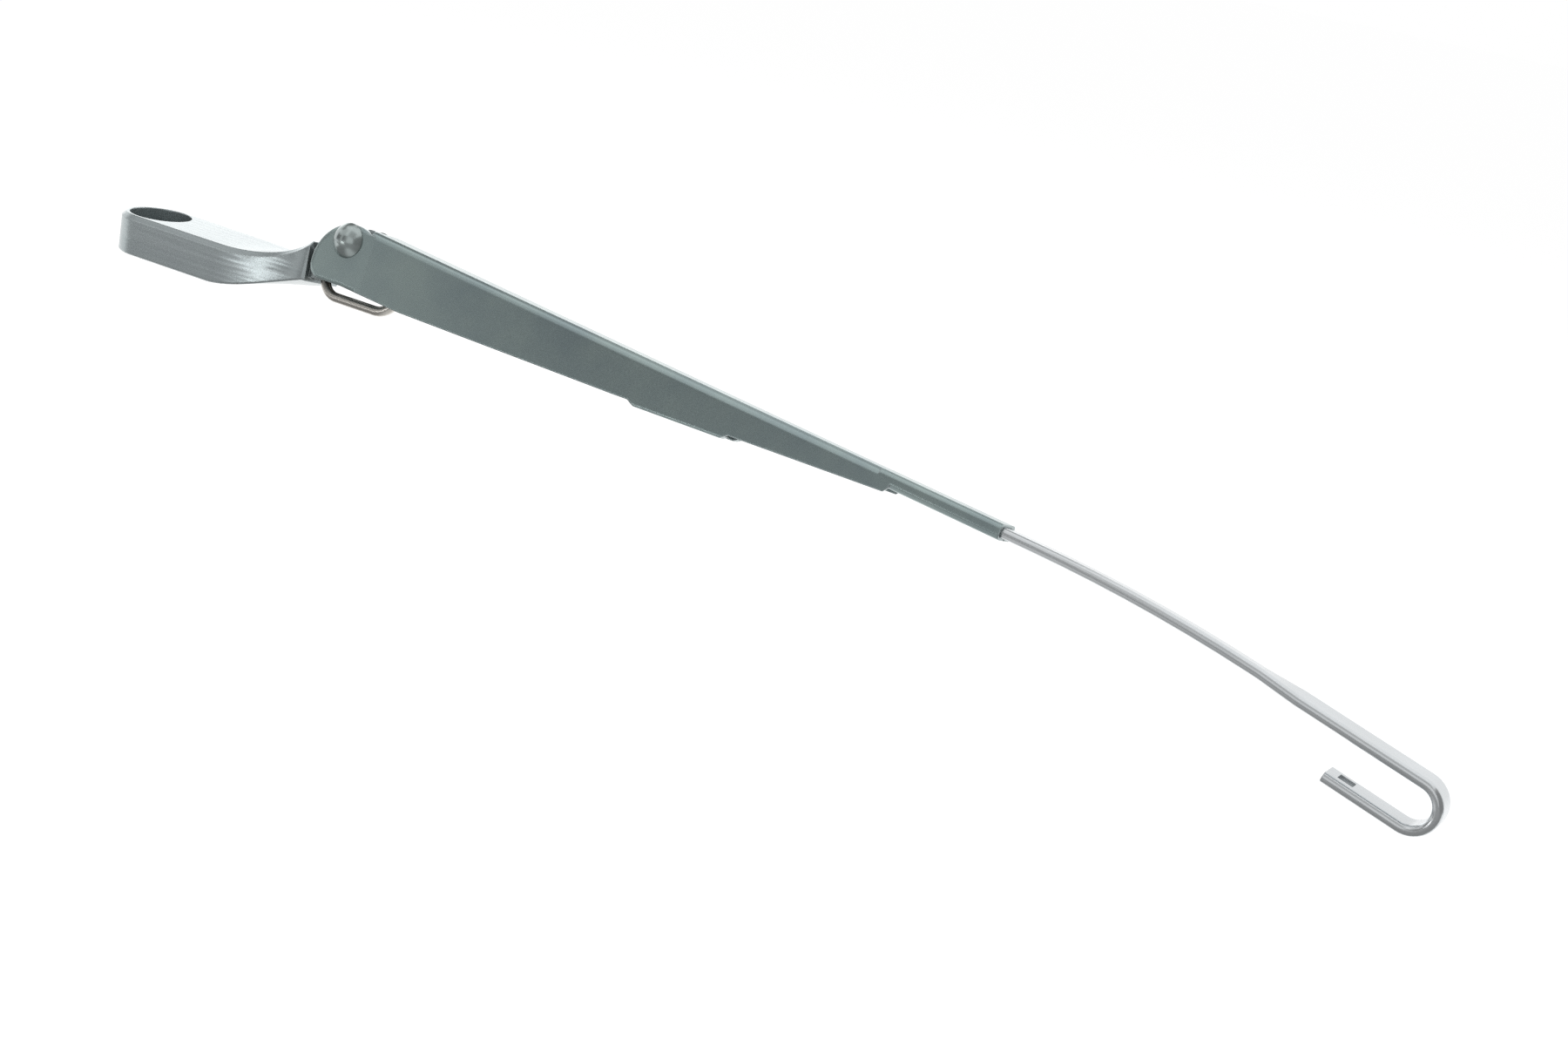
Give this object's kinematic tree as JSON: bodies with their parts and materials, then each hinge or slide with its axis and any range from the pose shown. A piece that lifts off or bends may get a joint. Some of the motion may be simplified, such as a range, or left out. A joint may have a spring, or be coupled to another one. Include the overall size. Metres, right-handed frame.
{
  "type": "windscreen wiper arm",
  "caption": "Car windscreen wiper arm: bored mounting head, sprung riveted hinge, tapered folded channel and flat rod ending in a U hook for the blade.",
  "frame": {"origin": "centre of the spindle bore on the mounting head's underside", "axes": "+Z along the spindle bore, up out of the nut pocket; +X along the arm towards the blade hook"},
  "size_m": [0.4616, 0.0284, 0.0647],
  "materials": {
    "head_paint": "satin",
    "arm_paint": "satin",
    "rod_paint": "satin",
    "rivet_paint": "satin",
    "link_steel": "satin",
    "spring_steel": "satin",
    "bush_steel": "satin"
  },
  "bodies": {
    "head": {"mounting_head": "head_paint", "hinge_bush_near": "bush_steel", "hinge_bush_far": "bush_steel", "link_pin": "link_steel"},
    "arm": {"arm_channel": "arm_paint", "wiper_rod": "rod_paint", "hinge_rivet": "rivet_paint"},
    "link": {"spring_link": "link_steel"},
    "spring": {"tension_spring": "spring_steel"}
  },
  "joints": [
    {"name": "arm_hinge", "type": "hinge", "parent": "head", "child": "arm", "pos_m": [0.086, 0, 0.0248], "axis": [0, -0.9703, 0.2419], "range_deg": [0, 50], "stiffness_Nm_per_rad": 0.4, "springref_deg": -143.24, "deforming": ["tension_spring"]},
    {"name": "link_pivot", "type": "hinge", "parent": "head", "child": "link", "pos_m": [0.0788, -0.00254, 0.01461], "axis": [0, -0.9703, 0.2419], "range_deg": [0, 45.4]},
    {"name": "spring_swing", "type": "hinge", "parent": "arm", "child": "spring", "pos_m": [0.189, -0.00254, 0.01461], "axis": [0, -0.9703, 0.2419], "range_deg": [-4.6, 0]}
  ],
  "couplings": [
    {"joint": "link_pivot", "follows": "arm_hinge", "ratio": 0.908},
    {"joint": "spring_swing", "follows": "arm_hinge", "ratio": -0.092}
  ]
}
